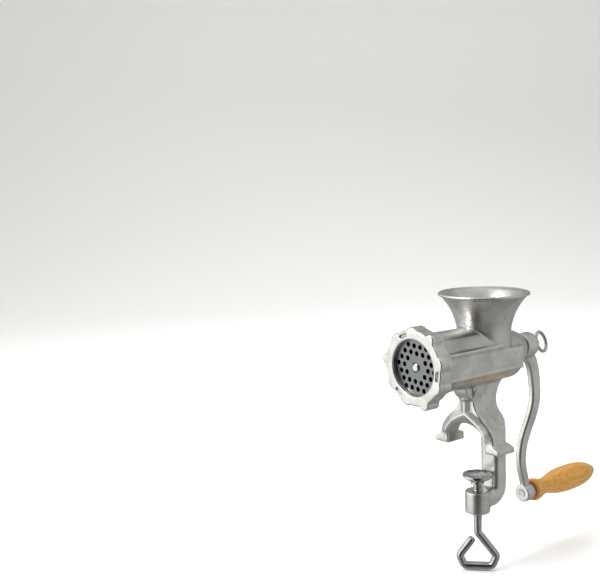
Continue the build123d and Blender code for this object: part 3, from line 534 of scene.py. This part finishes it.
# ---- operators ---------------------------------------------------------------------------------
class GRINDER_OT_housing(bpy.types.Operator):
    """Casts the housing: barrel, hopper, legs and clamp frame"""

    bl_idname = "grinder.housing"
    bl_label = "Housing"

    # the ridge's crest from the trunk's top to the foot: X and Z in millimetres
    ridge_line = ((0.0, 56.0), (0.0, 31.0), (8.5, 27.0), (15.9, 22.5), (21.5, 16.0), (24.5, 8.0))
    ridge_front = -15.0 * MM  # Y where the ridge stands at its full height
    ridge_ahead = -0.2  # share of the ridge's depth ahead of that Y that still moves
    ridge_top, top_fade = 56.0 * MM, 9.0 * MM
    ridge_foot, foot_fade = 7.0 * MM, 5.0 * MM

    def execute(self, context):
        sizes = sizes_of()
        mesh = cast_mesh("housing", sizes.casting_grain, sizes.casting_rounds)
        put_points(mesh, self.with_ridge(points_of(mesh), sizes))
        material = ready("tinned_cast_iron", tinned_iron)
        place("body_casting", mesh, "housing", "tinned_iron", material, "housing")
        return {"FINISHED"}

    def with_ridge(self, points, sizes):
        """Raises a roof-shaped ridge along the middle of the trunk's and the legs' front."""
        flat = np.stack([np.abs(points[:, 0]), points[:, 2]], 1)
        away = np.full(len(points), np.inf)
        line = np.array(self.ridge_line) * MM
        for a, b in zip(line, line[1:]):
            run = b - a
            share = np.clip(((flat - a) @ run) / run.dot(run), 0, 1)
            away = np.minimum(away, np.linalg.norm(flat - a - share[:, None] * run, axis=1))
        slope = np.clip(1 - away / sizes.leg_ridge_half, 0, 1)
        depth = (points[:, 1] - self.ridge_front) / sizes.leg_ridge_depth
        reach = (1 - np.clip(depth, 0, 1)) * (depth > self.ridge_ahead)
        fade = np.clip((self.ridge_top - points[:, 2]) / self.top_fade, 0, 1)
        fade *= np.clip((points[:, 2] - self.ridge_foot) / self.foot_fade, 0, 1)
        points[:, 1] -= sizes.leg_ridge * slope * reach * fade
        return points


class GRINDER_OT_crank(bpy.types.Operator):
    """Casts the crank arm and gives its pin and washer their steel"""

    bl_idname = "grinder.crank"
    bl_label = "Crank"

    def execute(self, context):
        sizes = sizes_of()
        mesh = cast_mesh("crank_arm", sizes.fine_grain, sizes.casting_rounds)
        material = ready("tinned_cast_iron", tinned_iron)
        place("crank_casting", mesh, "crank", "tinned_iron", material, "crank_arm")
        dress(("grip_pin", "grip_washer", "ring_screw"), ready("bright_steel", bright_steel))
        return {"FINISHED"}


class GRINDER_OT_nut(bpy.types.Operator):
    """Casts the lobed ring nut"""

    bl_idname = "grinder.nut"
    bl_label = "Ring nut"

    crisper = 2  # fewer smoothing passes than the other castings

    def execute(self, context):
        sizes = sizes_of()
        mesh = cast_mesh("ring_nut", sizes.fine_grain, sizes.casting_rounds - self.crisper)
        material = ready("machined_tin", machined_tin)
        place("ring_nut_casting", mesh, "nut", "tinned_iron", material, "ring_nut")
        return {"FINISHED"}


class GRINDER_OT_works(bpy.types.Operator):
    """Finishes the worm, knife, perforated plate, bush and washers"""

    bl_idname = "grinder.works"
    bl_label = "Worm and plate"

    def execute(self, context):
        dress(("auger",), ready("machined_tin", machined_tin))
        dress(("hole_plate",), ready("ground_plate", ground_plate))
        dress(("knife", "thrust_washer", "plate_key", "clamp_pad"), ready("bright_steel", bright_steel))
        dress(("rear_bush",), ready("dull_bronze", dull_bronze))
        return {"FINISHED"}


class GRINDER_OT_spindle(bpy.types.Operator):
    """Turns the threaded clamp spindle and bends its loop handle"""

    bl_idname = "grinder.spindle"
    bl_label = "Clamp spindle"

    # the bent loop in its own plane, sideways and Z in millimetres
    shoulder = (16.6, -103.5)
    bottom = (12.4, -113.2)
    apex = -81.5
    cut_end = (-4.6, -87.2)
    bends = (5.0, 4.2, 4.2, 4.2, 4.2)
    loop_step = 0.7
    rounded_end = (0.99, 0.93, 0.72)  # share of the rod's radius at the last rings

    # along the spindle
    tip_height = 4.2 * MM  # riveted tip below the pad's rim
    tip_rise = 1.0 * MM
    neck_gap = 0.3 * MM
    thread_fade_in = 1.5 * MM
    thread_fade_out = 2.0 * MM
    thread_past_boss = 1.5 * MM
    slimming = 9.0 * MM
    loop_lead = 7.0  # straight rod above the loop's apex, in millimetres
    loop_lap = 0.1
    crest_gain, crest_cut = 1.25, 0.12  # steepen the thread's flanks and flatten its crest
    rings_a_turn = 8
    sides = 32

    def execute(self, context):
        sizes = sizes_of()
        straight, radii = self.straight(sizes)
        loop = self.loop(sizes)
        radii += [np.full(self.sides, sizes.loop_wire)] * (len(loop) - len(self.rounded_end))
        radii += [np.full(self.sides, sizes.loop_wire * share) for share in self.rounded_end]
        mesh = swept_mesh("spindle", straight + loop, radii, self.sides)
        material = ready("bright_steel", bright_steel)
        place("clamp_spindle", mesh, "screw", "steel", material, "clamp_screw")
        return {"FINISHED"}

    def straight(self, sizes):
        """The straight part from its tip down: centres, and the radii around each."""
        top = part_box("clamp_screw")[1].z
        pad_low, pad_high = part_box("clamp_pad")
        tip_end = pad_high.z - self.tip_height
        neck_end = pad_low.z - self.neck_gap
        thread_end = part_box("housing")[0].z - self.thread_past_boss
        heights = np.arange(top, (self.apex + self.loop_lead) * MM, -sizes.thread_pitch / self.rings_a_turn)
        turns = np.arange(self.sides) / self.sides
        radii = []
        for z in heights:
            if z > tip_end:
                flare = np.clip((top - z) / self.tip_rise, 0, 1) * sizes.spindle_tip_flare
                radii.append(np.full(self.sides, sizes.spindle_tip + flare))
            elif z > neck_end:
                radii.append(np.full(self.sides, sizes.spindle_neck))
            else:
                fade = np.clip((z - thread_end) / self.thread_fade_out, 0, 1)
                fade *= np.clip((neck_end - z) / self.thread_fade_in, 0, 1)
                crest = 1 - np.abs((z / sizes.thread_pitch + turns) % 1.0 - 0.5) * 2
                crest = np.clip(crest * self.crest_gain - self.crest_cut, 0, 1)
                slim = np.clip((thread_end - z) / self.slimming, 0, 1)
                slim *= sizes.spindle_radius - sizes.loop_wire
                radii.append(sizes.spindle_radius - slim - sizes.thread_depth * fade * (1 - crest))
        return [Vector((0, 0, z)) for z in heights], radii

    def loop(self, sizes):
        """The bent loop's centres, from the straight part round to the cut end."""
        mirrored = [(-self.bottom[0], self.bottom[1]), (-self.shoulder[0], self.shoulder[1])]
        top = (0.0, self.apex + self.loop_lead - self.loop_lap)
        corners = [top, (0.0, self.apex), self.shoulder, self.bottom, *mirrored, self.cut_end]
        side, ahead = cos(sizes.loop_turn) * MM, sin(sizes.loop_turn) * MM
        spread = [Vector((x * side, x * ahead, z * MM)) for x, z in corners]
        return rounded_path(spread, [bend * MM for bend in self.bends], self.loop_step * MM)


class GRINDER_OT_grip(bpy.types.Operator):
    """Turns the wooden grip"""

    bl_idname = "grinder.grip"
    bl_label = "Grip"

    sides = 96
    rings = 160
    least_reach = 4.0 * MM  # the bore's points lie within this
    groove_place = 5.0 * MM
    groove_width = 0.5 * MM
    front_bevel = 0.3 * MM
    front_recess = 0.8 * MM
    rear_recess = 0.9 * MM
    evening = 3  # rings on each side that even out the profile

    def execute(self, context):
        sizes = sizes_of()
        low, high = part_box("grip")
        middle = ((low.x + high.x) / 2, (low.z + high.z) / 2)
        cuts, profile = self.profile(low, high, middle)
        away = (cuts - low.y - self.groove_place) / self.groove_width
        profile = profile - sizes.grip_groove * np.exp(-(away**2))
        outline = [
            (low.y, sizes.grip_bore),
            (low.y, profile[0] - self.front_recess),
            (low.y + self.front_bevel, profile[0] - self.front_bevel),
            *list(zip(cuts, profile))[1:],
            (high.y, profile[-1] - self.rear_recess),
            (high.y, sizes.grip_bore),
        ]
        mesh = self.turned(outline, middle)
        material = ready("varnished_beech", varnished_beech)
        place("wooden_grip", mesh, "grip", "varnished_wood", material, "grip")
        return {"FINISHED"}

    def profile(self, low, high, middle):
        """The CAD grip's outline in even cuts: their places along Y and their radii."""
        points = points_of(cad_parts["grip"].data)
        reach = np.hypot(points[:, 0] - middle[0], points[:, 2] - middle[1])
        outer = reach > self.least_reach
        order = np.argsort(points[outer, 1])
        cuts = np.linspace(low.y, high.y, self.rings)
        radii = np.interp(cuts, points[outer, 1][order], reach[outer][order])
        padded = np.pad(radii, self.evening, "edge")
        window = 2 * self.evening + 1
        return cuts, np.convolve(padded, np.ones(window) / window, "valid")

    def turned(self, outline, middle):
        """A closed ring of quads: the outline turned about the grip's axis."""
        turns = np.arange(self.sides) * 2 * pi / self.sides
        points = [(middle[0] + r * cos(t), y, middle[1] + r * sin(t)) for y, r in outline for t in turns]
        count = len(outline)
        faces = []
        for i in range(count):
            n = (i + 1) % count
            for j in range(self.sides):
                k = (j + 1) % self.sides
                here, on = i * self.sides, n * self.sides
                faces.append((here + k, here + j, on + j, on + k))
        mesh = bpy.data.meshes.new("turned_grip")
        mesh.from_pydata(points, [], faces)
        mesh.shade_smooth()
        mesh.update()
        fix = bmesh.new()
        fix.from_mesh(mesh)
        bmesh.ops.recalc_face_normals(fix, faces=fix.faces)
        fix.to_mesh(mesh)
        fix.free()
        return mesh


class GRINDER_OT_stage(bpy.types.Operator):
    """Lays the floor, hangs the lights and sets the camera"""

    bl_idname = "grinder.stage"
    bl_label = "Stage"

    camera_place = (541.99, -601.38, 242.37)  # millimetres
    camera_azimuth = 53.010
    camera_elevation = 6.898
    camera_roll = 1.902
    camera_lens = 54.65
    sensor_width = 36.0
    clip = (0.01, 20.0)

    # the floor, in metres from the object's origin along the view and to each side
    floor_near, floor_far, floor_half = 3.2, 1.6, 4.5
    wall_bend, wall_top = 0.8, 3.0
    floor_gap = 1.0 * MM

    # lamps: name, azimuth, height angle, distance, size, power, and whether metal shows them
    lamps = (
        ("key", 5.0, 55.0, 1.6, 1.2, 12.0, False),
        ("fill", 110.0, 35.0, 1.8, 1.2, 4.0, False),
        ("back", 220.0, 55.0, 1.7, 1.2, 12.0, False),
        ("spark", -20.0, 48.0, 1.5, 0.16, 5.0, True),
    )

    # brightness of the surround by bearing, from behind the object round by its left to behind again
    surround = (
        (0.000, 0.36), (0.125, 0.62), (0.220, 1.45), (0.330, 1.35), (0.375, 0.45), (0.410, 0.03),
        (0.515, 0.03), (0.560, 0.22), (0.620, 0.50), (0.750, 0.52), (0.875, 0.34), (1.000, 0.36),
    )
    gap_level = 0.2  # darker stops are a little green
    gap_red = 0.93
    surround_blue = 0.97
    overhead, overhead_reach = 0.80, (0.55, 0.98)
    underneath, underneath_reach = 0.30, (-0.10, -0.85)
    pale_blue = 0.985
    backdrop = (1.0, 1.0, 1.0)

    def execute(self, context):
        self.lay_floor()
        self.hang_lights()
        self.set_world()
        self.set_camera()
        return {"FINISHED"}

    def lay_floor(self):
        """A floor that curves up into a wall behind the object."""
        base = CAD_BOX[0][2] - self.floor_gap
        away = Vector((-sin(radians(self.camera_azimuth)), cos(radians(self.camera_azimuth)), 0))
        side = Vector((away.y, -away.x, 0))
        profile = [(-self.floor_near, 0.0)]
        profile += [
            (self.floor_far + self.wall_bend * sin(a), self.wall_bend * (1 - cos(a)))
            for a in np.linspace(0, pi / 2, 24)
        ]
        profile.append((self.floor_far + self.wall_bend, self.wall_top))
        points = [
            away * run + side * s * self.floor_half + Vector((0, 0, base + lift))
            for run, lift in profile
            for s in (-1, 1)
        ]
        faces = [(2 * i, 2 * i + 1, 2 * i + 3, 2 * i + 2) for i in range(len(profile) - 1)]
        mesh = bpy.data.meshes.new("floor")
        mesh.from_pydata([tuple(p) for p in points], [], faces)
        mesh.shade_smooth()
        floor = bpy.data.objects.new("floor", mesh)
        floor.visible_glossy = False
        mesh.materials.append(ready("pale_floor", pale_floor))
        bpy.context.scene.collection.objects.link(floor)

    def hang_lights(self):
        """Soft boxes for the matt surfaces, and one small lamp that the metal shows as highlights."""
        low, high = Vector(CAD_BOX[0]), Vector(CAD_BOX[1])
        middle = (low + high) / 2
        for name, azimuth, height, distance, size, power, shows in self.lamps:
            lamp = bpy.data.lights.new(name, "AREA")
            lamp.shape = "DISK"
            lamp.size = size
            lamp.energy = power
            holder = bpy.data.objects.new(name, lamp)
            holder.visible_glossy = shows
            a, e = radians(azimuth), radians(height)
            out = Vector((sin(a) * cos(e), -cos(a) * cos(e), sin(e)))
            holder.location = middle + out * distance
            holder.rotation_euler = out.to_track_quat("Z", "Y").to_euler()
            bpy.context.scene.collection.objects.link(holder)

    def set_world(self):
        """Studio surround: white at the left, a dark gap behind the camera, grey at the right."""
        world = bpy.data.worlds.new("studio")
        graph = Graph(world)
        right = Vector((cos(radians(self.camera_azimuth)), sin(radians(self.camera_azimuth)), 0))
        toward = Vector((right.y, -right.x, 0))
        aim = graph.node("ShaderNodeTexCoord", output=0)
        dot = {"operation": "DOT_PRODUCT"}
        beside = graph.node("ShaderNodeVectorMath", dot, {0: aim, 1: right}, output=1)
        before = graph.node("ShaderNodeVectorMath", dot, {0: aim, 1: toward}, output=1)
        up = graph.node("ShaderNodeSeparateXYZ", {}, {0: aim}, output=2)
        bearing = beside.maths("ARCTAN2", beside, before) * (0.5 / pi) + 0.5
        tone = graph.steps(bearing, *[(where, self.tinted(level)) for where, level in self.surround])
        for level, (start, end) in (
            (self.overhead, self.overhead_reach),
            (self.underneath, self.underneath_reach),
        ):
            values = {"Value": up, "From Min": start, "From Max": end}
            share = graph.node("ShaderNodeMapRange", {}, values)
            tone = graph.blend(share, tone, (level, level, level * self.pale_blue))
        seen = graph.node("ShaderNodeLightPath", output=0)
        tone = graph.blend(seen, tone, self.backdrop)
        graph.end("ShaderNodeOutputWorld", graph.node("ShaderNodeBackground", {}, {"Color": tone}))
        bpy.context.scene.world = world
        bpy.context.scene.view_settings.view_transform = "Standard"

    def tinted(self, level):
        """A surround brightness as a colour."""
        red = self.gap_red if level < self.gap_level else 1.0
        return (level * red, level, level * self.surround_blue)

    def set_camera(self):
        """The camera, level but for a small roll."""
        a, e, r = (radians(v) for v in (self.camera_azimuth, self.camera_elevation, self.camera_roll))
        ahead = Vector((-sin(a) * cos(e), cos(a) * cos(e), -sin(e)))
        right = Vector((cos(a), sin(a), 0))
        down = ahead.cross(right)
        across = right * cos(r) + down * sin(r)
        below = down * cos(r) - right * sin(r)
        data = bpy.data.cameras.new("camera")
        data.sensor_width = self.sensor_width
        data.lens = self.camera_lens
        data.clip_start, data.clip_end = self.clip
        camera = bpy.data.objects.new("camera", data)
        turn = Matrix((across, -below, -ahead)).transposed()
        camera.matrix_world = Matrix.Translation(Vector(self.camera_place) * MM) @ turn.to_4x4()
        bpy.context.scene.collection.objects.link(camera)
        bpy.context.scene.camera = camera


class GRINDER_PT_panel(bpy.types.Panel):
    """Lists the pieces and their sizes"""

    bl_idname = "GRINDER_PT_panel"
    bl_label = "Meat grinder"
    bl_space_type = "VIEW_3D"
    bl_region_type = "UI"
    bl_category = "Grinder"

    def draw(self, context):
        layout = self.layout
        for operator in OPERATORS:
            layout.operator(operator.bl_idname)
        for group in (context.scene.grinder_sizes, context.scene.grinder_finish):
            box = layout.box()
            for name in group.__annotations__:
                box.prop(group, name)


OPERATORS = (
    GRINDER_OT_housing,
    GRINDER_OT_crank,
    GRINDER_OT_nut,
    GRINDER_OT_works,
    GRINDER_OT_spindle,
    GRINDER_OT_grip,
    GRINDER_OT_stage,
)
CLASSES = (GrinderSizes, GrinderFinish, *OPERATORS, GRINDER_PT_panel)


def register():
    for cls in CLASSES:
        bpy.utils.register_class(cls)
    bpy.types.Scene.grinder_sizes = PointerProperty(type=GrinderSizes)
    bpy.types.Scene.grinder_finish = PointerProperty(type=GrinderFinish)


def unregister():
    del bpy.types.Scene.grinder_finish
    del bpy.types.Scene.grinder_sizes
    for cls in reversed(CLASSES):
        bpy.utils.unregister_class(cls)


def main():
    register()
    for operator in OPERATORS:
        group, name = operator.bl_idname.split(".")
        getattr(getattr(bpy.ops, group), name)()


if __name__ == "__main__":
    main()
